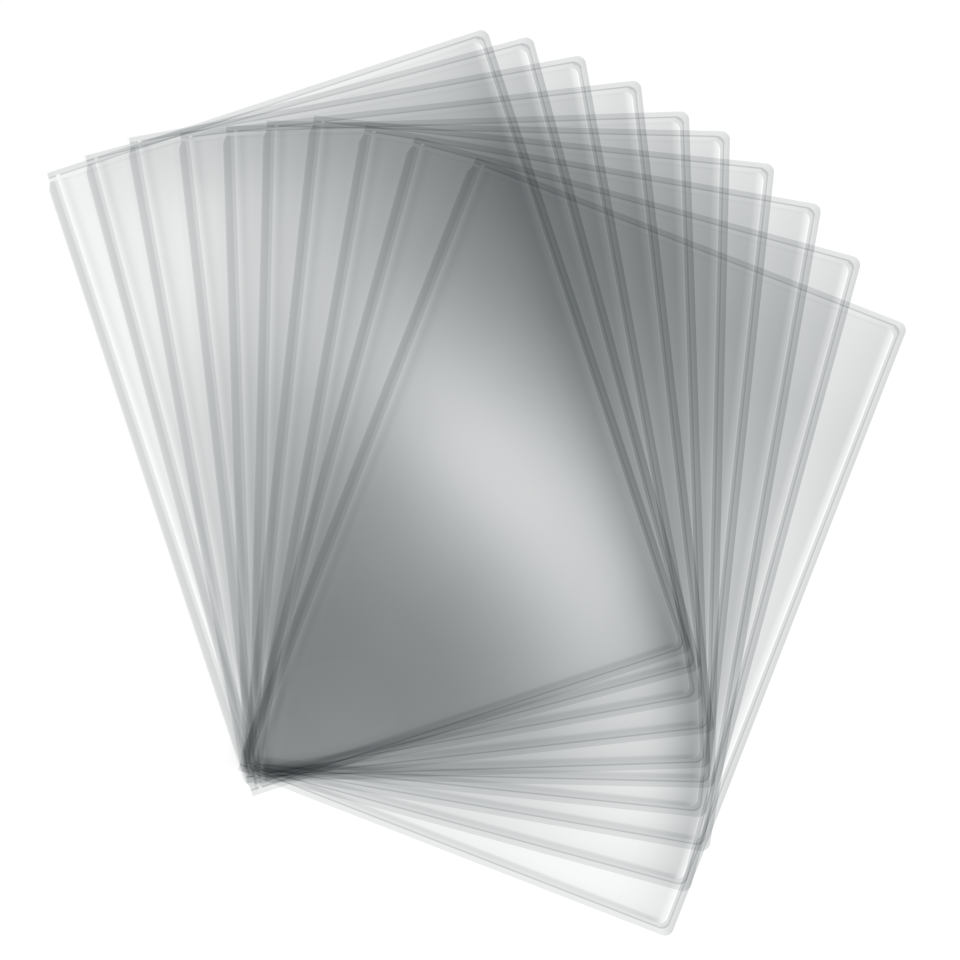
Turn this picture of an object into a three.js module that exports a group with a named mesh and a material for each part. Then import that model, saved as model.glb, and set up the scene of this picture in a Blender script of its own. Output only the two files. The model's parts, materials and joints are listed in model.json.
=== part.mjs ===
// Ten clear slip-on covers for A4 exercise books, lying in a fan. Millimetres, +Z up.
//
// Each cover is closed and empty. An outer film wraps round the spine, and a pocket film is
// welded inside each half of it along the foot, the fore edge and the head. The pocket's
// fourth edge is free, next to the fold, and a book's own cover slides in there.
//
// The lowest cover is the one turned furthest to the left. The origin is the point that the
// covers are fanned about, on the face that the set rests on.

import * as THREE from "three";

// One closed cover, seen from above
const COVER_WIDTH = 215.7; // fold to fore edge
const COVER_HEIGHT = 305.8; // foot to head
const CORNER_RADIUS = 4; // at the fore edge; the corners at the fold are square
const POCKET_EDGE = 4; // fold to the free edge of a pocket film

// Films and the gaps between them
const FILM = 0.15; // thickness of either film
const PILLOW = 0.1; // how far a film stands off the weld's level inside the shoulder
const BOOK_GAP = 0.2; // between the two halves of a closed cover
const STACK_GAP = 0.2; // between one cover and the next

// Weld, measured inwards from the trimmed edge
const TRIM_MARGIN = 2.4; // flat film outside the weld line
const WELD_WIDTH = 0.6; // groove that the welding bar leaves
const WELD_FLANK = 0.2; // sloping side of the groove
const WELD_DEPTH = 0.05;
const WELD_LAND = 1.4; // flat film between the groove and the shoulder
const SHOULDER_WIDTH = 4; // film rising from the weld's level to the panel's

// Fold
const FOLD_BULGE = 1.6; // how far the bend stands out past its ends, which the welds press flat
const SWING_CLEARANCE = 0.05; // between the bend and the half that swings round it

// Fan
const PIVOT_IN = 22.3; // fold to the point that the covers are fanned about
const PIVOT_UP = 10; // foot edge to that point

// How each cover lies, lowest first: its turn in degrees, anticlockwise seen from above,
// and how far it has slipped from the shared point
const COVERS = [
  { turn: 18.3, slip: [-2.0, -0.4] },
  { turn: 15.05, slip: [0.1, 1.7] },
  { turn: 10.35, slip: [-2.7, 2.9] },
  { turn: 6.5, slip: [1.8, 1.0] },
  { turn: 1.85, slip: [-0.7, 0.3] },
  { turn: -1.35, slip: [1.9, 1.6] },
  { turn: -6.05, slip: [-0.5, 3.6] },
  { turn: -9.95, slip: [3.3, 0.5] },
  { turn: -15.25, slip: [-0.9, -1.1] },
  { turn: -21.25, slip: [-2.5, -3.1] },
];

// Fineness of the round stretches
const CORNER_STEPS = 4; // in the quarter circle of a corner
const FOLD_STEPS = 6; // in the half turn of the bend

// What follows from the sizes above. Heights in a cover are counted from its middle, where
// its two halves face each other.
const WELD_LEVEL = BOOK_GAP / 2 + PILLOW + FILM; // where the two films of a half meet
const FOLD_RADIUS = WELD_LEVEL + PILLOW + FILM; // outer face of a panel
const COVER_PITCH = 2 * FOLD_RADIUS + STACK_GAP;
const SWING_REACH = FOLD_RADIUS + FOLD_BULGE; // the bend's furthest point from the fold's axis
const ARM_END = FOLD_RADIUS + Math.sqrt(SWING_REACH ** 2 - FOLD_RADIUS ** 2);
const SHEET_START = FOLD_RADIUS + SWING_REACH + SWING_CLEARANCE;
const WELD_END = TRIM_MARGIN + WELD_WIDTH;
const SHOULDER_START = WELD_END + WELD_LAND;
const SHOULDER_END = SHOULDER_START + SHOULDER_WIDTH;

// The two faces of a film, from its trimmed edge inwards. Each height is counted from the
// weld's level, away from the film on the other side of the weld.
const FAR_FACE = [
  { inset: 0, height: FILM },
  { inset: TRIM_MARGIN, height: FILM },
  { inset: TRIM_MARGIN + WELD_FLANK, height: FILM - WELD_DEPTH },
  { inset: WELD_END - WELD_FLANK, height: FILM - WELD_DEPTH },
  { inset: WELD_END, height: FILM },
  { inset: SHOULDER_START, height: FILM },
  { inset: SHOULDER_END, height: FILM + PILLOW },
];
const NEAR_FACE = [
  { inset: 0, height: 0 },
  { inset: SHOULDER_START, height: 0 },
  { inset: SHOULDER_END, height: PILLOW },
];

// The near face's height at any inset
function nearHeight(inset) {
  const climbed = (inset - SHOULDER_START) / SHOULDER_WIDTH;
  return PILLOW * THREE.MathUtils.clamp(climbed, 0, 1);
}

// Collects the triangles of one closed body.
class Skin {
  constructor() {
    this.positions = [];
  }

  triangle(a, b, c) {
    this.positions.push(...a, ...b, ...c);
  }

  quad(a, b, c, d) {
    this.triangle(a, b, c);
    this.triangle(a, c, d);
  }

  // A strip between two rows of as many points
  band(row, next) {
    for (let i = 0; i + 1 < row.length; i++) {
      this.quad(row[i], row[i + 1], next[i + 1], next[i]);
    }
  }

  // A flat face. view gives a point's place to the right and up, seen from outside.
  cap(outline, view) {
    const flat = outline.map((point) => new THREE.Vector2(...view(point)));
    for (const [a, b, c] of THREE.ShapeUtils.triangulateShape(flat, [])) {
      this.triangle(outline[a], outline[b], outline[c]);
    }
  }

  geometry() {
    const made = new THREE.BufferGeometry();
    made.setAttribute("position", new THREE.Float32BufferAttribute(this.positions, 3));
    made.computeVertexNormals();
    return made;
  }
}

// A film's outline at one inset and height: out from the fold side along the foot, up the
// fore edge and back along the head.
function outlineAt(startX, inset, z) {
  const centreX = COVER_WIDTH - inset - CORNER_RADIUS;
  const lowY = inset + CORNER_RADIUS;
  const highY = COVER_HEIGHT - inset - CORNER_RADIUS;
  const points = [[startX, inset, z]];
  for (const [centreY, firstAngle] of [
    [lowY, -Math.PI / 2],
    [highY, 0],
  ]) {
    for (let step = 0; step <= CORNER_STEPS; step++) {
      const angle = firstAngle + (Math.PI / 2) * (step / CORNER_STEPS);
      const x = centreX + CORNER_RADIUS * Math.cos(angle);
      const y = centreY + CORNER_RADIUS * Math.sin(angle);
      points.push([x, y, z]);
    }
  }
  points.push([startX, COVER_HEIGHT - inset, z]);
  return points;
}

// The flat middle of a face, inside its last outline, as strips from the foot to the head
function addPanel(skin, outline, facesUp) {
  for (let i = 0; i < outline.length / 2 - 1; i++) {
    const j = outline.length - 1 - i;
    const corners = [outline[i], outline[i + 1], outline[j - 1], outline[j]];
    if (!facesUp) corners.reverse();
    skin.quad(...corners);
  }
}

// One film, from startX to the fore edge. side is +1 where the film lies above the weld's
// level, and -1 where it lies below.
function filmGeometry(startX, weldZ, side) {
  const rowsOf = (face) =>
    face.map(({ inset, height }) => outlineAt(startX, inset, weldZ + side * height));
  const farRows = rowsOf(FAR_FACE);
  const nearRows = rowsOf(NEAR_FACE);
  const [upper, lower] = side > 0 ? [farRows, nearRows] : [nearRows, farRows];

  const skin = new Skin();
  for (let i = 0; i + 1 < upper.length; i++) skin.band(upper[i], upper[i + 1]);
  for (let i = 0; i + 1 < lower.length; i++) skin.band(lower[i + 1], lower[i]);
  skin.band(lower[0], upper[0]);
  addPanel(skin, upper.at(-1), true);
  addPanel(skin, lower.at(-1), false);

  const footEnds = (rows) => rows.map((row) => row[0]);
  const headEnds = (rows) => rows.map((row) => row.at(-1));
  const foldSide = [
    ...footEnds(lower),
    ...headEnds(lower).reverse(),
    ...headEnds(upper),
    ...footEnds(upper).reverse(),
  ];
  skin.cap(foldSide, ([, y, z]) => [-y, z]);
  return skin.geometry();
}

// The bend's section at one place along the fold: the outer arc from the back's arm to the
// front's, then the inner arc back again. bulge is how far it stands out there.
function bendSection(y, outerRadius, innerRadius, bulge) {
  const arc = (radius) => {
    const points = [[ARM_END, y, -radius]];
    for (let step = 0; step <= FOLD_STEPS; step++) {
      const angle = -Math.PI / 2 - Math.PI * (step / FOLD_STEPS);
      const x = FOLD_RADIUS + (radius + bulge) * Math.cos(angle);
      points.push([x, y, radius * Math.sin(angle)]);
    }
    points.push([ARM_END, y, radius]);
    return points;
  };
  return [...arc(outerRadius), ...arc(innerRadius).reverse()];
}

// The spine: the outer film's bend from the back to the front. The weld draws it in and
// presses it flat at the foot and the head, and it bulges outwards between them.
function bendGeometry() {
  const sections = [];
  for (const { inset, height } of FAR_FACE) {
    const standOff = nearHeight(inset);
    const bulge = FOLD_BULGE * (standOff / PILLOW);
    const sizes = [WELD_LEVEL + height, WELD_LEVEL + standOff, bulge];
    sections.push(bendSection(inset, ...sizes));
    sections.push(bendSection(COVER_HEIGHT - inset, ...sizes));
  }
  sections.sort((a, b) => a[0][1] - b[0][1]);

  const skin = new Skin();
  const closed = (section) => [...section, section[0]];
  for (let i = 0; i + 1 < sections.length; i++) {
    skin.band(closed(sections[i]), closed(sections[i + 1]));
  }
  skin.cap(sections[0], ([x, , z]) => [x, z]);
  skin.cap(sections.at(-1), ([x, , z]) => [-x, z]);
  return skin.geometry();
}

// Clear film, a little greyer where it is seen through its pocket
const filmLook = { roughness: 0.12, metalness: 0, transparent: true };
const SHEET_MATERIAL = new THREE.MeshStandardMaterial({ ...filmLook, color: 0xf0f2f3, opacity: 0.22 });
const POCKET_MATERIAL = new THREE.MeshStandardMaterial({ ...filmLook, color: 0xe6e9ea, opacity: 0.18 });
const SPINE_MATERIAL = new THREE.MeshStandardMaterial({ ...filmLook, color: 0xdadedf, opacity: 0.3 });

// One closed cover, with its own origin at the point that it is fanned about, half way up
function makeCover(name) {
  const pieces = [
    ["back_sheet", filmGeometry(SHEET_START, -WELD_LEVEL, -1), SHEET_MATERIAL],
    ["back_pocket", filmGeometry(POCKET_EDGE, -WELD_LEVEL, +1), POCKET_MATERIAL],
    ["spine_fold", bendGeometry(), SPINE_MATERIAL],
    ["front_pocket", filmGeometry(POCKET_EDGE, +WELD_LEVEL, -1), POCKET_MATERIAL],
    ["front_sheet", filmGeometry(SHEET_START, +WELD_LEVEL, +1), SHEET_MATERIAL],
  ];
  const cover = new THREE.Group();
  for (const [piece, geometry, material] of pieces) {
    geometry.translate(-PIVOT_IN, -PIVOT_UP, 0);
    const mesh = new THREE.Mesh(geometry, material);
    mesh.name = name + "_" + piece;
    cover.add(mesh);
  }
  return cover;
}

const fan = new THREE.Group();
COVERS.forEach(({ turn, slip: [slipX, slipY] }, place) => {
  const cover = makeCover("cover_" + String(place + 1).padStart(2, "0"));
  cover.position.set(slipX, slipY, FOLD_RADIUS + place * COVER_PITCH);
  cover.rotation.z = THREE.MathUtils.degToRad(turn);
  fan.add(cover);
});

export default fan;
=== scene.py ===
"""Looks for a fan of ten clear slip-on exercise book covers, seen from straight above.

Blender works in metres. The sizes written here are millimetres in a cover's own frame: x runs
from the fold to the fore edge, y from the foot to the head and z up from the cover's middle.
"""

import json
import math

import bpy
import numpy as np
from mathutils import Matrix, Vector


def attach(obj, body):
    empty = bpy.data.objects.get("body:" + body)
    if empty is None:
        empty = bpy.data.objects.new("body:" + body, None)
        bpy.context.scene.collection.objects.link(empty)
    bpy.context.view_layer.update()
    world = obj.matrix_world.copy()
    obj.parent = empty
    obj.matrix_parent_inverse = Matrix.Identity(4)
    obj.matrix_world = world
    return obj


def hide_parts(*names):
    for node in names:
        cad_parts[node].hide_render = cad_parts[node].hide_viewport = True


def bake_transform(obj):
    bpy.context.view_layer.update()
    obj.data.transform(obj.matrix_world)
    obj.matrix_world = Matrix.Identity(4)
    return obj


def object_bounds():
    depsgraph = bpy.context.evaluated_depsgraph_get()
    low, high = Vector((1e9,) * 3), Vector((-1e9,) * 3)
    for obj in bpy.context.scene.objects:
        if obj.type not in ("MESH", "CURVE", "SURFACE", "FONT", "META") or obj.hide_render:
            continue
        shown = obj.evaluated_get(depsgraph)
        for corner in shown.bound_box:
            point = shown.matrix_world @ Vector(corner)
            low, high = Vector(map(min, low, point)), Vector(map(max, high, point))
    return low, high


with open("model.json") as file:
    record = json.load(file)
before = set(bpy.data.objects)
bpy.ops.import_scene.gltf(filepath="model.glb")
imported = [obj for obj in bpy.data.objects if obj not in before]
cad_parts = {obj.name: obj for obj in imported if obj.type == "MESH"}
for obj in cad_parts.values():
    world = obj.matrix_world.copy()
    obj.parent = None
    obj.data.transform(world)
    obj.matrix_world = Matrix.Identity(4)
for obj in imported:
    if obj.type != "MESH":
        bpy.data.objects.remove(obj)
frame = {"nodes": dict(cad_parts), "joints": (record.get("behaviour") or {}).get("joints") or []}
cad_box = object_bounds()

MM = 0.001
COVER_COUNT = 10

# Insets from the trimmed edge, on the three welded sides
CORNER_RADIUS = 4.0
WELD_START = 2.5
WELD_END = 3.2
HEAD_WELD_SHIFT = 0.35  # how much nearer the edge the weld lies at the head
WELD_FLANK = 0.2
SHOULDER_START = 4.4
SHOULDER_END = 8.8
CORNER_ZONE = 12.5  # beyond it a corner's rounding isn't felt

# Heights
FILM = 0.15
PILLOW = 0.1
WELD_DEPTH = 0.05
WELD_GAP = 0.02  # kept between the two films of a half in the weld's margin
WAVE = 0.07  # how far a panel wanders from flat
WAVE_TURN = 2.4  # radians by which the waviness differs from one cover to the next
WAVE_ONSET = 30.0  # from the fold, where the bend no longer holds a panel flat

# Fold side
POCKET_EDGE = 4.0  # fold to the free edge of a pocket film
SEAM = 0.02  # between the ends of the bend and the sheets

# Spacing of the mesh lines over a panel
PANEL_STEP = 9.0
BEND_STEPS = 14  # round the half turn of the spine
ARM_LINES = [1.5, 1.9, 2.3]  # on the flat ends of the bend
BULGE_START = 3.9  # inset at which the bend begins to stand out


def smooth(value, start, end):
    """0 before start, 1 after end, and a soft step between them."""
    share = np.clip((value - start) / (end - start), 0, 1)
    return share * share * (3 - 2 * share)


def profile(value, points):
    """A line through (place, height) points."""
    places, heights = zip(*points)
    return np.interp(value, places, heights)


def head_share(cover, x, y):
    """1 beside the head, 0 beside the foot and the fore edge, and a soft step at a corner."""
    from_fore = cover.width - x
    from_head = cover.height - y
    beside_head = smooth(from_fore - from_head, -CORNER_RADIUS, CORNER_RADIUS)
    return (y > cover.height / 2) * beside_head


class Cover:
    """One cover's own frame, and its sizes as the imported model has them."""

    def __init__(self, number):
        self.number = number
        self.name = f"cover_{number:02d}"
        fold = next(j for j in frame["joints"] if j["name"] == self.name + "_fold")
        self.pin = np.array(fold["pos_m"])
        self.opens_flat = fold["range_deg"][1] > 90
        self.up = -np.array(fold["axis"])
        self.across = np.array([self.up[1], -self.up[0], 0.0])
        spine_low, spine_high = self.measure("spine_fold")
        sheet_low, sheet_high = self.measure("front_sheet")
        self.radius = (spine_high[2] - spine_low[2]) / 2
        self.height = spine_high[1] - spine_low[1]
        self.width = sheet_high[0] + self.radius
        self.sheet_start = sheet_low[0] + self.radius
        self.bulge = -spine_low[0] - self.radius
        self.weld_level = self.radius - FILM - PILLOW

    def measure(self, piece):
        """The lowest and highest corner of a CAD piece, from the fold's axis."""
        vertices = frame["nodes"][f"{self.name}_{piece}"].data.vertices
        from_pin = np.array([v.co for v in vertices]) - self.pin
        own = np.stack([from_pin @ self.across, from_pin @ self.up, from_pin[:, 2]], axis=1) / MM
        return own.min(axis=0), own.max(axis=0)

    def place(self, x, y, z):
        """Points of the cover's own frame, in the part's frame and in metres."""
        along = np.multiply.outer(x - self.radius, self.across)
        upward = np.multiply.outer(y - self.height / 2, self.up)
        lifted = np.multiply.outer(z, np.array([0.0, 0.0, 1.0]))
        return self.pin + MM * (along + upward + lifted)

    def wave(self, x, y):
        """The slow unevenness of the cover's panels, which all its films follow."""
        turn = WAVE_TURN * self.number
        wander = (
            np.sin(x / 31 + 0.6 * np.sin(y / 47 + turn) + turn)
            + np.sin(y / 38 - x / 90 + 1.7 * turn)
            + 0.6 * np.sin((x + y) / 19 + 2.9 * turn)
        )
        most = 1 + 1 + 0.6
        return WAVE / most * wander * smooth(x, POCKET_EDGE, WAVE_ONSET)


# How much light one cover passes, as its depth: light passed = exp(-depth)
PANEL_DEPTH = 0.12
LEAST_DEPTH = 0.01
# Painted sheen: soft patches, painted clearer (a painted highlight) or greyer (painted shade)
# than the rest of the panel in place of reflections on the film, each with its centre, its reach
# along and across its own direction, that direction in degrees and what it adds to the depth
PAINTED_SHEEN = [
    ((115, 155), (70, 40), -75, -0.125),
    ((35, 245), (60, 25), -105, -0.08),
    ((190, 55), (65, 35), 45, -0.09),
    ((210, 135), (195, 15), 90, 0.16),
    ((240, 265), (100, 60), 25, 0.17),
    ((45, 55), (110, 45), -15, 0.02),
    ((20, 155), (110, 15), 90, 0.02),
]
# Beside the fold, as (distance from it, depth): painted shadow outside the fold (below 0), a
# darker band along the bend that is partly the film and partly painted shade, a painted
# highlight line at the pockets' free edge (3.9 to 4.5) and a band of painted shade beyond it
FOLD_BAND_AND_PAINTED_LIGHT = [
    (-1.7, 0.13), (-1.2, 0.23), (-0.6, 0.3), (0, 0.31), (1.5, 0.35), (1.9, 0.33),
    (2.3, 0.21), (3.3, 0.22), (3.6, 0.18), (3.9, 0.04), (4.5, 0.04), (5, 0.09),
    (6, 0.15), (7, 0.19), (7.6, 0.19), (8.5, 0.155), (10.5, 0.11),
]
# Beside the three welded edges, as (inset, tone): a share of the panel's depth at the fore edge,
# whose low values on the shoulder paint a highlight, and what is added to it at the foot, which
# is painted shade, and at the head, a faint painted highlight line and then painted shade
FORE_PAINTED_HIGHLIGHT = [
    (4.4, 0), (4.8, 0.1), (5, 0.22), (5.5, 0.44), (6.5, 0.57),
    (7, 0.69), (7.5, 0.8), (8.2, 0.95), (8.8, 1),
]
FOOT_PAINTED_SHADE = [(5.5, 0.22), (6, 0.19), (6.5, 0.1), (7, 0.03), (11, 0)]
HEAD_PAINTED_LIGHT_AND_SHADE = [(4.2, -0.02), (4.5, 0.02), (5, 0.05), (5.7, 0.06), (6, 0.02), (15, 0.02), (35, 0)]
FORE_MARGIN = [(0, 0.38), (1, 0.35), (2.5, 0.27)]
FOOT_MARGIN = 0.19
HEAD_MARGIN = 0.24
# The depth of the weld line and of the land beside it. At the head the land is a share of the
# panel's depth, and the weld is that and a little more.
FORE_WELD, FOOT_WELD, HEAD_WELD_EXTRA = 0.55, 0.5, 0.3
FORE_LAND, FOOT_LAND, HEAD_LAND_SHARE = 0.32, 0.27, 0.95
# From the fold: the weld of the outer film and that of the pockets don't meet
WELD_BREAK = (3.8, 5.4)
WELD_BREAK_DEPTH = 0.03
FOLD_LAND = 5.0  # nearer the fold than this, the land is no darker than the film beside it
FOLD_SETTLED = (9.3, 13.0)  # from the fold, where its tones go over into the panel's
END_SETTLED = (5.0, 11.0)  # from the fore edge, where the tones of the foot and the head set in
END_ONSET = (3.0, 8.0)  # the same, from the fold


def panel_depth_and_sheen(x, y):
    """Depth of the four films of a panel, away from its edges, with the painted highlights and
    painted shade of the sheen.
    """
    depth_and_light = np.full(np.shape(x), PANEL_DEPTH)
    for (centre_x, centre_y), (reach_along, reach_across), degrees, strength in PAINTED_SHEEN:
        angle = math.radians(degrees)
        along = (x - centre_x) * math.cos(angle) + (y - centre_y) * math.sin(angle)
        across = (y - centre_y) * math.cos(angle) - (x - centre_x) * math.sin(angle)
        depth_and_light += strength * np.exp(-((along / reach_along) ** 2) - (across / reach_across) ** 2)
    return np.maximum(depth_and_light, LEAST_DEPTH)


def cover_depth_and_light(cover, x, y, inset):
    """Depth of a whole cover at a place, inset mm in from its nearest welded edge, with the
    painted shadow, shade and highlights beside its fold and edges and the painted sheen on its
    panel.
    """
    from_fore = cover.width - x
    from_end = np.minimum(y, cover.height - y)
    low = y < cover.height / 2
    by_fore = smooth(from_end - from_fore, -CORNER_RADIUS, CORNER_RADIUS)

    settled = smooth(x, *FOLD_SETTLED)
    # inner: the film's depth with the painted light beside the fold and the fore edge, and the
    # painted sheen
    inner = profile(x, FOLD_BAND_AND_PAINTED_LIGHT) * (1 - settled) + panel_depth_and_sheen(x, y) * settled
    inner *= profile(from_fore, FORE_PAINTED_HIGHLIGHT)
    # painted shade along the foot, and a faint painted highlight line and painted shade along
    # the head
    end_painted_shade_and_highlight = np.where(low, profile(y, FOOT_PAINTED_SHADE), profile(cover.height - y, HEAD_PAINTED_LIGHT_AND_SHADE))
    inner += end_painted_shade_and_highlight * smooth(from_fore, *END_SETTLED) * smooth(x, *END_ONSET)

    def edge_tone(fore, foot, head):
        return by_fore * fore + (1 - by_fore) * np.where(low, foot, head)

    margin = edge_tone(profile(inset, FORE_MARGIN), FOOT_MARGIN, HEAD_MARGIN)
    head_land = HEAD_LAND_SHARE * panel_depth_and_sheen(x, y)
    weld = edge_tone(FORE_WELD, FOOT_WELD, head_land + HEAD_WELD_EXTRA)
    land = edge_tone(FORE_LAND, FOOT_LAND, head_land)
    in_break = (x > WELD_BREAK[0]) & (x < WELD_BREAK[1])
    weld = np.where(in_break, WELD_BREAK_DEPTH, weld)
    land = np.where(x < FOLD_LAND, np.minimum(land, inner), land)
    seen = inset + HEAD_WELD_SHIFT * head_share(cover, x, y)
    outer = np.where(seen < WELD_START, margin, np.where(seen < WELD_END, weld, land))
    return np.where(inset < SHOULDER_START, outer, inner)


# Mesh lines: close together where the edge's profile bends, PANEL_STEP apart elsewhere
EDGE_LINES = [
    0, 0.7, 1.4, 2.0, 2.49, 2.51, 2.7, 3.0, 3.19, 3.21, 3.5, 4.0,
    4.39, 4.41, 4.8, 5, 5.5, 6, 6.5, 7, 7.5, 8.2, 8.8, 10.5, CORNER_ZONE,
]
FOLD_LINES = [
    3.3, 3.6, 3.79, 3.81, 3.99, 4.01, 4.5, 5, 5.39,
    5.41, 6, 7, 7.7, 8.5, 9.3, 10.6, 12, 13.5,
]
LINE_PAIR = 0.1  # a weld's mesh lines reach no further out than this past its edges


def spread(start, end):
    """Even mesh lines between two others, which aren't among them."""
    return np.linspace(start, end, round((end - start) / PANEL_STEP) + 1)[1:-1]


def across_lines(cover, start):
    fold_side = [start] + [line for line in FOLD_LINES if line > start + SEAM]
    fore_side = [cover.width - line for line in reversed(EDGE_LINES)]
    return np.array([*fold_side, *spread(fold_side[-1], fore_side[0]), *fore_side])


def upward_lines(cover):
    head_side = [cover.height - line for line in reversed(EDGE_LINES)]
    first = cover.height - WELD_END - LINE_PAIR
    last = cover.height - WELD_START + LINE_PAIR
    head_side = [line + HEAD_WELD_SHIFT * (first < line < last) for line in head_side]
    return np.array([*EDGE_LINES, *spread(EDGE_LINES[-1], head_side[0]), *head_side])


def round_corners(cover, x, y):
    """Bends the square mesh lines round the two corners at the fore edge."""
    from_fore = cover.width - x
    from_end = np.minimum(y, cover.height - y)
    inset = np.minimum(from_fore, from_end)
    beyond = np.maximum(from_fore, from_end)
    reach = np.maximum(CORNER_ZONE - inset, 1e-6)
    radius = np.minimum(CORNER_RADIUS, reach)
    arc = radius * math.pi / 4
    travelled = (beyond - inset) / reach * (arc + reach - radius)
    angle = math.pi / 4 - np.minimum(travelled, arc) / radius
    short = inset + radius * (1 - np.cos(angle))
    long = inset + radius * (1 - np.sin(angle)) + np.maximum(travelled - arc, 0)
    fore_side = from_fore < from_end
    new_fore = np.where(fore_side, short, long)
    new_end = np.where(fore_side, long, short)
    near = beyond < CORNER_ZONE
    new_x = np.where(near, cover.width - new_fore, x)
    new_y = np.where(near, np.where(y < cover.height / 2, new_end, cover.height - new_end), y)
    return new_x, new_y, inset


def far_height(inset, weld_shift):
    """A film's face away from its partner, counted from the weld's level."""
    seen = inset + weld_shift
    down = smooth(seen, WELD_START, WELD_START + WELD_FLANK)
    up = smooth(seen, WELD_END - WELD_FLANK, WELD_END)
    risen = PILLOW * smooth(inset, SHOULDER_START, SHOULDER_END)
    return FILM - WELD_DEPTH * (down - up) + risen


def near_height(inset):
    """A film's face towards its partner, counted from the weld's level."""
    risen = smooth(inset, SHOULDER_START, SHOULDER_END)
    return WELD_GAP / 2 + (PILLOW - WELD_GAP / 2) * risen


def closed_grid(upper, lower):
    """Vertices and faces of a closed body between two grids of points."""
    rows, columns = upper.shape[:2]
    count = rows * columns
    numbers = np.arange(count).reshape(rows, columns)
    corners = [numbers[:-1, :-1], numbers[1:, :-1], numbers[1:, 1:], numbers[:-1, 1:]]
    quads = np.stack([c.ravel() for c in corners], axis=1)
    first_half = [numbers[:, 0], numbers[-1, 1:]]
    second_half = [numbers[-2::-1, -1], numbers[0, -2:0:-1]]
    rim = np.concatenate(first_half + second_half)
    after = np.roll(rim, -1)
    sides = np.stack([rim, rim + count, after + count, after], axis=1)
    vertices = np.concatenate([upper.reshape(-1, 3), lower.reshape(-1, 3)])
    faces = np.concatenate([quads, quads[:, ::-1] + count, sides])
    return vertices, faces


SHARP_EDGE = math.radians(40)
COVER_APART = 40.0  # between one cover's cloudiness and the next's, mm


def make_piece(name, vertices, faces, depth_and_light, place, material):
    """A mesh object with its tone, painted light included, and its own coordinates at each
    vertex.
    """
    mesh = bpy.data.meshes.new(name)
    mesh.from_pydata(vertices.tolist(), [], faces.tolist())
    tone = mesh.attributes.new("film_depth_and_light", "FLOAT", "POINT")
    tone.data.foreach_set("value", depth_and_light.astype(np.float32))
    own = mesh.attributes.new("film_place", "FLOAT_VECTOR", "POINT")
    own.data.foreach_set("vector", place.astype(np.float32).ravel())
    mesh.polygons.foreach_set("use_smooth", np.ones(len(mesh.polygons), bool))
    mesh.set_sharp_from_angle(angle=SHARP_EDGE)
    mesh.materials.append(material)
    piece = bpy.data.objects.new(name, mesh)
    bpy.context.scene.collection.objects.link(piece)
    return piece


def make_film(cover, node, start, half, outer, material):
    """A sheet or a pocket film. half is +1 in the front half and -1 in the back one; outer is
    +1 for a sheet, which lies outside the weld's level, and -1 for a pocket film."""
    lines = across_lines(cover, start), upward_lines(cover)
    flat_x, flat_y = np.meshgrid(*lines, indexing="ij")
    x, y, inset = round_corners(cover, flat_x, flat_y)
    wave = cover.wave(x, y) * smooth(inset, SHOULDER_START, SHOULDER_END)
    weld_shift = HEAD_WELD_SHIFT * head_share(cover, x, y)
    far = half * (cover.weld_level + outer * far_height(inset, weld_shift)) + wave
    near = half * (cover.weld_level + outer * near_height(inset)) + wave
    upper, lower = (far, near) if half * outer > 0 else (near, far)
    vertices, faces = closed_grid(cover.place(x, y, upper), cover.place(x, y, lower))
    surfaces = np.where(x < POCKET_EDGE, 4, 8)  # that a look down through the cover crosses
    # this depth carries the painted highlights, shade and shadow as well as the film's own tone
    depth_and_light = cover_depth_and_light(cover, x, y, inset) / surfaces
    own = np.stack([x, y, np.full(x.shape, COVER_APART * cover.number)], axis=-1).reshape(-1, 3)
    both_depths, both_places = np.tile(depth_and_light.ravel(), 2), np.tile(own, (2, 1))
    return make_piece(
        f"{node}_film", vertices, faces[:, ::-1], both_depths, both_places, material
    )


def make_bend(cover, node, material):
    """The outer film where it goes round the spine. It is drawn flat by the welds at the foot
    and the head, and stands out a little between them."""
    y = upward_lines(cover)
    inset = np.minimum(y, cover.height - y)
    weld_shift = HEAD_WELD_SHIFT * (y > cover.height / 2)
    outer = cover.weld_level + far_height(inset, weld_shift)
    inner = cover.weld_level + near_height(inset)
    arm = np.array([*ARM_LINES, cover.sheet_start - SEAM])
    angles = np.linspace(-math.pi / 2, -3 * math.pi / 2, BEND_STEPS + 1)
    stand_out = cover.bulge * smooth(inset, BULGE_START, SHOULDER_END)

    def section(radius, thickness):
        reach = cover.radius + stand_out - thickness
        x = cover.radius + np.multiply.outer(np.cos(angles), reach)
        z = np.multiply.outer(np.sin(angles), radius)
        flat = np.tile(arm[:, None], (1, len(y)))
        x = np.concatenate([flat[::-1], x, flat])
        below, above = (np.tile(end, (len(arm), 1)) for end in (z[:1], z[-1:]))
        z = np.concatenate([below, z, above])
        return x, np.broadcast_to(y, x.shape), z

    outside = section(outer, 0.0)
    inside = section(inner, FILM)
    vertices, faces = closed_grid(cover.place(*outside), cover.place(*inside))
    x = np.concatenate([outside[0].ravel(), inside[0].ravel()])
    up = np.tile(y, len(x) // len(y))
    # this depth includes the painted shadow on the bulge outside the fold and the painted light
    # beside it
    depth_and_light = cover_depth_and_light(cover, x, up, np.minimum(up, cover.height - up)) / 4
    own = np.stack([x, up, np.full(x.shape, COVER_APART * cover.number)], axis=-1)
    return make_piece(f"{node}_film", vertices, faces, depth_and_light, own, material)


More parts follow.
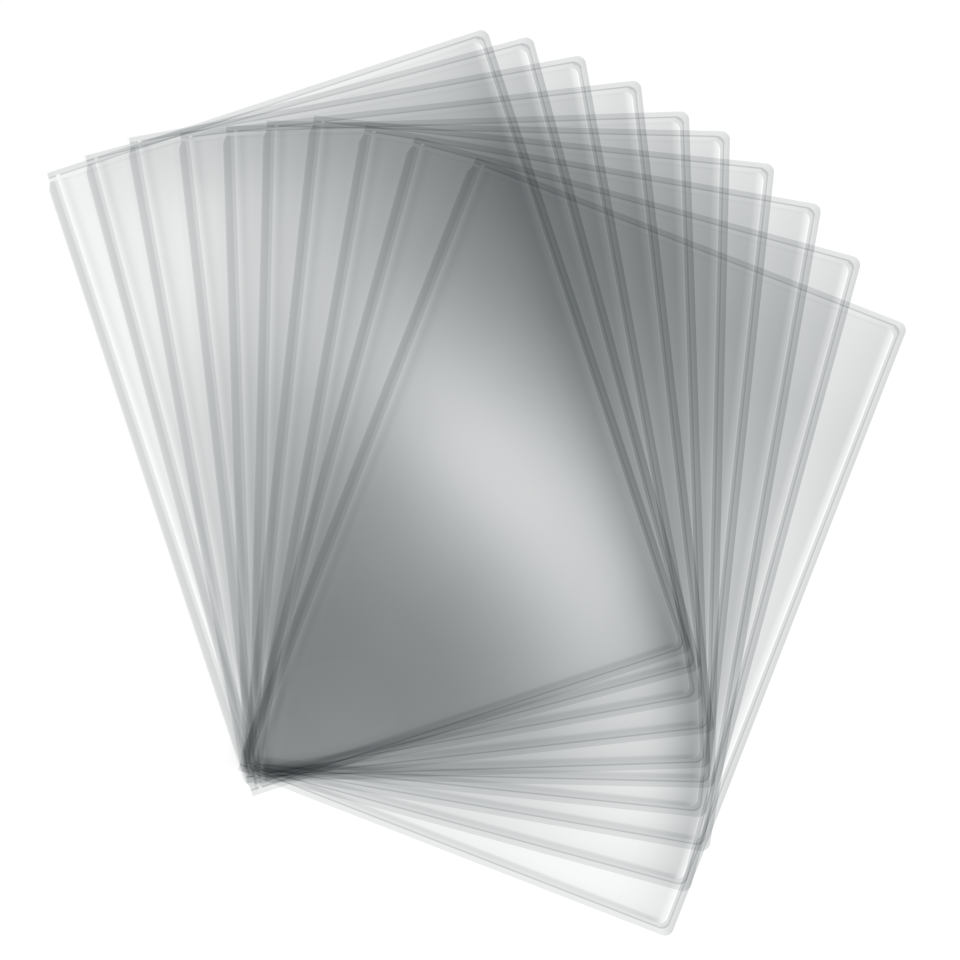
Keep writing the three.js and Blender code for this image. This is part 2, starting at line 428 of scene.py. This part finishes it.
class Nodes:
    """Short calls for building a material's node tree."""

    def __init__(self, material):
        material.use_nodes = True
        self.tree = material.node_tree
        self.tree.nodes.clear()

    def add(self, kind, **settings):
        node = self.tree.nodes.new(kind)
        for name, value in settings.items():
            if name in node.inputs:
                node.inputs[name].default_value = value
            else:
                setattr(node, name, value)
        return node

    def link(self, source, target):
        self.tree.links.new(source, target)

    def math(self, operation, first, second=None):
        node = self.add("ShaderNodeMath", operation=operation)
        for socket, value in zip(node.inputs, (first, second)):
            if isinstance(value, (int, float)):
                socket.default_value = value
            elif value is not None:
                self.link(value, socket)
        return node.outputs[0]


FILM_TINT = (1.045, 1.0, 0.985)  # how fast each colour fades with depth
GLOSS_IOR = 1.2
GLOSS_START = 0.001  # mirroring sets in where it is this much stronger than head on
SHEET_GLOSS = 0.3
POCKET_GLOSS = 0.15
CLOUD_SCALE = 0.035  # clouds to a millimetre
CLOUD_LEAST = 0.94  # share of the depth where the cloudiness is thinnest
CLOUD_RANGE = 0.12  # what is added to that share where it is thickest


def film_material(name, gloss):
    """Clear film: it darkens what lies behind it by the depth kept at each vertex, a little
    cloudily, and mirrors its surroundings where it is seen at a low angle. The kept depth also
    holds painted highlights, painted shade and painted shadow."""
    material = bpy.data.materials.new(name)
    nodes = Nodes(material)
    depth_and_light = nodes.add("ShaderNodeAttribute", attribute_name="film_depth_and_light").outputs["Fac"]
    place = nodes.add("ShaderNodeAttribute", attribute_name="film_place").outputs["Vector"]
    cloud = nodes.add("ShaderNodeTexNoise", Scale=CLOUD_SCALE, Detail=1.0)
    nodes.link(place, cloud.inputs["Vector"])
    share = nodes.math("MULTIPLY", cloud.outputs["Fac"], CLOUD_RANGE)
    cloudy = nodes.math("MULTIPLY", depth_and_light, nodes.math("ADD", share, CLOUD_LEAST))
    channels = nodes.add("ShaderNodeCombineColor")
    for channel, fading in zip(channels.inputs, FILM_TINT):
        nodes.link(nodes.math("EXPONENT", nodes.math("MULTIPLY", cloudy, -fading)), channel)
    clear = nodes.add("ShaderNodeBsdfTransparent")
    nodes.link(channels.outputs[0], clear.inputs["Color"])
    mirror = nodes.add("ShaderNodeBsdfGlossy", Roughness=0.0)
    fresnel = nodes.add("ShaderNodeFresnel", IOR=GLOSS_IOR)
    head_on = ((GLOSS_IOR - 1) / (GLOSS_IOR + 1)) ** 2
    mirrored = nodes.math("SUBTRACT", fresnel.outputs[0], head_on + GLOSS_START)
    mirrored = nodes.math("MAXIMUM", nodes.math("MULTIPLY", mirrored, gloss), 0.0)
    mixed = nodes.add("ShaderNodeMixShader")
    nodes.link(mirrored, mixed.inputs[0])
    nodes.link(clear.outputs[0], mixed.inputs[1])
    nodes.link(mirror.outputs[0], mixed.inputs[2])
    output = nodes.add("ShaderNodeOutputMaterial")
    nodes.link(mixed.outputs[0], output.inputs["Surface"])
    return material


# Heights below and above a bend's axis for a cover that opens a little, and, for the cover that
# opens flat, a thin band that leans, from the top of its bend. dress_cover works out where these
# start and end but does nothing more with them.
SOFT_REACH = 0.45
HINGE_BAND = 0.015
HINGE_LEAN = 3.0


def dress_cover(cover, sheet, pocket, spine):
    """Replaces a cover's five CAD pieces by films: the four flat films each go on the body of
    their own piece, and the bend is left on no body.
    """
    back, front = cover.name + "_back", cover.name + "_front"
    films = [
        ("back_sheet", cover.sheet_start, -1, +1, sheet, back, "clear_sheet"),
        ("back_pocket", POCKET_EDGE, -1, -1, pocket, back, "clear_pocket"),
        ("front_pocket", POCKET_EDGE, +1, -1, pocket, front, "clear_pocket"),
        ("front_sheet", cover.sheet_start, +1, +1, sheet, front, "clear_sheet"),
    ]
    for part, start, half, outer, material, body, slot in films:
        node = f"{cover.name}_{part}"
        film = make_film(cover, node, start, half, outer, material)
        film.visible_shadow = part == "front_sheet"
        film.visible_diffuse = False
        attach(film, body)
        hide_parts(node)
    node = cover.name + "_spine_fold"
    bend = make_bend(cover, node, spine)
    bend.visible_diffuse = False
    upright = np.array([0, 0, 1.0])
    if cover.opens_flat:
        start = cover.pin + MM * cover.radius * upright
        end = start + MM * HINGE_BAND * (cover.across + HINGE_LEAN * upright)
    else:
        start, end = (cover.pin + MM * side * SOFT_REACH * upright for side in (-1, 1))
    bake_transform(bend)
    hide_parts(node)


FLOOR_SIZE = 60.0  # metres
FLOOR_DROP = 0.05  # below the covers
FLOOR_WHITE = 0.9  # as light that it bounces sees it
FLOOR_GLOW = 0.67  # the tone that the object's shadow leaves
FLOOR_SHADE = 0.36  # the tone that the lamps add


def add_floor():
    """A white floor that keeps the object's shadow."""
    mesh = bpy.data.meshes.new("floor")
    half = FLOOR_SIZE / 2
    corners = [(-half, -half), (half, -half), (half, half), (-half, half)]
    mesh.from_pydata([(x, y, -FLOOR_DROP * MM) for x, y in corners], [], [(0, 1, 2, 3)])
    floor = bpy.data.objects.new("floor", mesh)
    bpy.context.scene.collection.objects.link(floor)
    material = bpy.data.materials.new("white_floor")
    nodes = Nodes(material)
    matte = nodes.add("ShaderNodeBsdfDiffuse", Color=(FLOOR_WHITE,) * 3 + (1,))
    dim = nodes.add("ShaderNodeBsdfDiffuse", Color=(FLOOR_SHADE,) * 3 + (1,))
    glow = nodes.add("ShaderNodeEmission", Color=(1, 1, 1, 1), Strength=FLOOR_GLOW)
    both = nodes.add("ShaderNodeAddShader")
    nodes.link(dim.outputs[0], both.inputs[0])
    nodes.link(glow.outputs[0], both.inputs[1])
    rays = nodes.add("ShaderNodeLightPath").outputs
    seen = nodes.math("MAXIMUM", rays["Is Camera Ray"], rays["Is Glossy Ray"])
    seen = nodes.math("MAXIMUM", seen, rays["Is Transmission Ray"])
    mixed = nodes.add("ShaderNodeMixShader")
    nodes.link(seen, mixed.inputs[0])
    nodes.link(matte.outputs[0], mixed.inputs[1])
    nodes.link(both.outputs[0], mixed.inputs[2])
    output = nodes.add("ShaderNodeOutputMaterial")
    nodes.link(mixed.outputs[0], output.inputs["Surface"])
    mesh.materials.append(material)


WORLD_LIGHT = 0.45


def add_world():
    """White behind everything, and a plain even light on the object."""
    world = bpy.data.worlds.new("studio")
    bpy.context.scene.world = world
    nodes = Nodes(world)
    light = nodes.add("ShaderNodeBackground", Color=(1, 1, 1, 1), Strength=WORLD_LIGHT)
    white = nodes.add("ShaderNodeBackground", Color=(1, 1, 1, 1), Strength=1.0)
    rays = nodes.add("ShaderNodeLightPath").outputs
    seen = nodes.math("MAXIMUM", rays["Is Camera Ray"], rays["Is Glossy Ray"])
    seen = nodes.math("MAXIMUM", seen, rays["Is Transmission Ray"])
    mixed = nodes.add("ShaderNodeMixShader")
    nodes.link(seen, mixed.inputs[0])
    nodes.link(light.outputs[0], mixed.inputs[1])
    nodes.link(white.outputs[0], mixed.inputs[2])
    output = nodes.add("ShaderNodeOutputWorld")
    nodes.link(mixed.outputs[0], output.inputs["Surface"])


def add_lamp(name, azimuth, elevation, distance, size, strength):
    """A square soft lamp aimed at the fan. strength is the light that it lays on the floor
    under it, where 1 shows a white surface as white."""
    low, high = cad_box
    target = (Vector(low) + Vector(high)) / 2
    turn, rise = math.radians(azimuth), math.radians(elevation)
    flat = math.cos(rise)
    direction = Vector((math.sin(turn) * flat, -math.cos(turn) * flat, math.sin(rise)))
    data = bpy.data.lights.new(name, "AREA")
    data.shape = "SQUARE"
    data.size = size
    data.energy = strength * math.pi * math.pi * distance ** 2 / math.sin(rise)
    lamp = bpy.data.objects.new(name, data)
    lamp.location = target + distance * direction
    lamp.rotation_mode = "QUATERNION"
    lamp.rotation_quaternion = direction.to_track_quat("Z", "Y")
    bpy.context.scene.collection.objects.link(lamp)


VIEW_CENTRE = (85.8, 130.5)  # what the middle of the picture shows
VIEW_WIDTH = 446.9
LENS = 400.0
SENSOR = 36.0


def add_camera():
    """A camera straight above the fan, far off behind a long lens."""
    data = bpy.data.cameras.new("camera")
    data.lens = LENS
    data.sensor_width = SENSOR
    data.sensor_fit = "HORIZONTAL"
    low, high = cad_box
    distance = VIEW_WIDTH * MM * LENS / SENSOR
    data.clip_start = distance / 100
    data.clip_end = distance * 10
    camera = bpy.data.objects.new("camera", data)
    middle = (low[2] + high[2]) / 2
    camera.location = (VIEW_CENTRE[0] * MM, VIEW_CENTRE[1] * MM, middle + distance)
    bpy.context.scene.collection.objects.link(camera)
    bpy.context.scene.camera = camera


CLEAR_LAYERS = 256  # more than the 80 film faces that a ray can cross


def set_render():
    """Plain colours, and rays that go through all the films without being cut short."""
    scene = bpy.context.scene
    scene.view_settings.view_transform = "Standard"
    scene.cycles.transparent_max_bounces = CLEAR_LAYERS
    scene.cycles.min_transparent_bounces = CLEAR_LAYERS
    scene.cycles.max_bounces = 8
    scene.cycles.diffuse_bounces = 0
    scene.cycles.glossy_bounces = 4
    scene.cycles.caustics_reflective = False
    scene.cycles.use_denoising = True


set_render()
add_camera()
add_world()
add_floor()
add_lamp("key_lamp", 75, 62, 4.0, 1.2, 0.4)
add_lamp("fill_lamp", 300, 50, 4.0, 2.0, 0.15)

sheet_material = film_material("clear_sheet_film", SHEET_GLOSS)
pocket_material = film_material("clear_pocket_film", POCKET_GLOSS)
spine_material = film_material("clear_fold_film", SHEET_GLOSS)
for number in range(1, COVER_COUNT + 1):
    dress_cover(Cover(number), sheet_material, pocket_material, spine_material)
